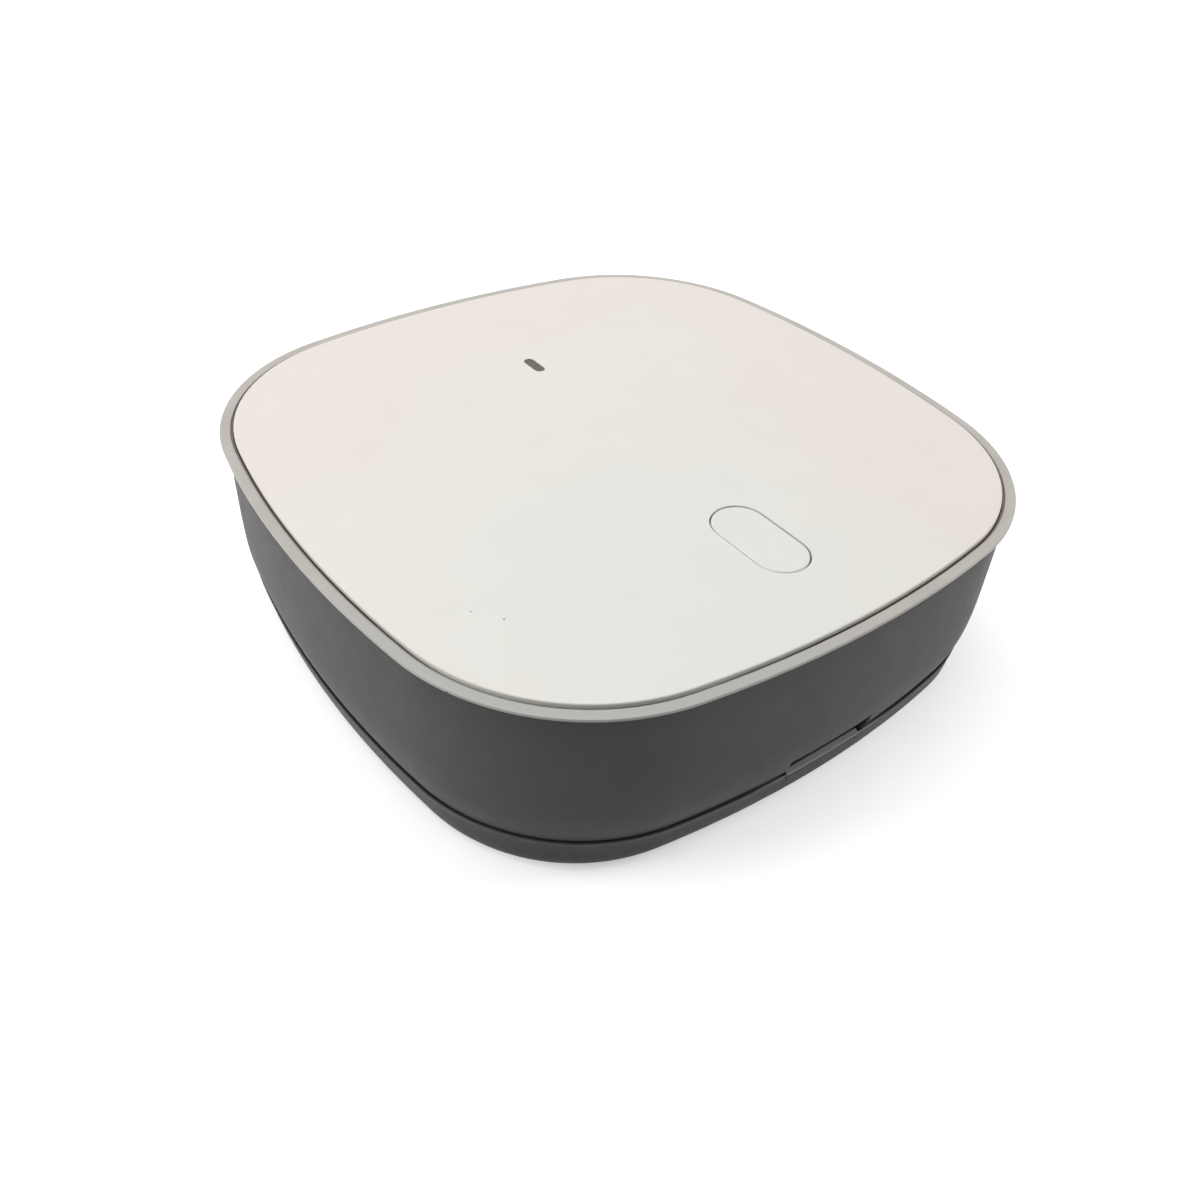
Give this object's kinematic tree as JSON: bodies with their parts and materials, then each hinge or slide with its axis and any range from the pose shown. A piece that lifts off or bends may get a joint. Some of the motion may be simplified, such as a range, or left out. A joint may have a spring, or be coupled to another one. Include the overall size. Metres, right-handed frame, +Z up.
{
  "type": "garage door controller hub",
  "caption": "Low rounded square box with a white cover plate, a pill shaped push button, a status light window and a screwed base round a circuit board, hung on wall screws",
  "frame": {"origin": "centre of the plane that the four feet stand on, under the middle of the plan outline", "axes": "+Z up from the feet to the cover plate; +X along the front edge, to the right seen from the front; +Y from the push button's edge to the power inlet's edge at the back"},
  "size_m": [0.1404, 0.1404, 0.0409],
  "materials": {
    "white_plastic": "satin moulded",
    "grey_plastic": "satin moulded",
    "dark_plastic": "fine spark texture",
    "black_plastic": "plain moulded",
    "smoked_plastic": "polished smoke tint",
    "clear_resin": "cast",
    "circuit_board": "solder mask over woven glass",
    "black_resin": "moulded resin",
    "ceramic": "fired",
    "ferrite": "pressed and fired",
    "zinc_steel": "zinc plated",
    "tinned_steel": "tin plated sheet",
    "aluminium_can": "drawn can",
    "brass_strip": "rolled strip",
    "foot_rubber": "moulded rubber"
  },
  "bodies": {
    "hub": {"top_panel": "white_plastic", "bezel_ring": "grey_plastic", "body_shell": "dark_plastic", "base_cover": "dark_plastic", "case_screws": "zinc_steel", "board_screws": "zinc_steel", "button_switch_base": "black_plastic", "button_switch_cover": "tinned_steel", "button_switch_dome": "tinned_steel", "status_light_pipe": "smoked_plastic", "status_led": "clear_resin", "light_shroud": "black_plastic", "main_board": "circuit_board", "wifi_module_board": "circuit_board", "wifi_module_shield": "tinned_steel", "processor_chip": "black_resin", "memory_chip": "black_resin", "clock_crystal": "tinned_steel", "radio_shield": "tinned_steel", "radio_chip": "black_resin", "radio_crystal": "tinned_steel", "radio_antenna": "brass_strip", "power_port_shell": "tinned_steel", "power_port_tongue": "black_plastic", "resettable_fuse": "circuit_board", "surge_diode": "black_resin", "power_inductor": "ferrite", "regulator_chip": "black_resin", "input_capacitor": "aluminium_can", "output_capacitor": "aluminium_can", "sounder_case": "black_plastic", "sounder_disc": "brass_strip", "sounder_pins": "tinned_steel", "sounder_driver": "black_resin", "chip_resistors": "black_resin", "chip_capacitors": "ceramic", "foot_front_left": "foot_rubber", "foot_front_right": "foot_rubber", "foot_back_right": "foot_rubber", "foot_back_left": "foot_rubber"},
    "button": {"button_cap": "white_plastic"},
    "switch_plunger": {"button_switch_plunger": "black_plastic"}
  },
  "joints": [
    {"name": "button_press", "type": "slide", "parent": "hub", "child": "button", "axis": [0, 0, -1], "range_m": [0, 0.0005], "stiffness_N_per_m": 2000, "springref_m": -0.0003},
    {"name": "switch_press", "type": "slide", "parent": "hub", "child": "switch_plunger", "axis": [0, 0, -1], "range_m": [0, 0.0005], "deforming": ["button_switch_dome"]}
  ],
  "couplings": [
    {"joint": "switch_press", "follows": "button_press", "ratio": 1}
  ]
}
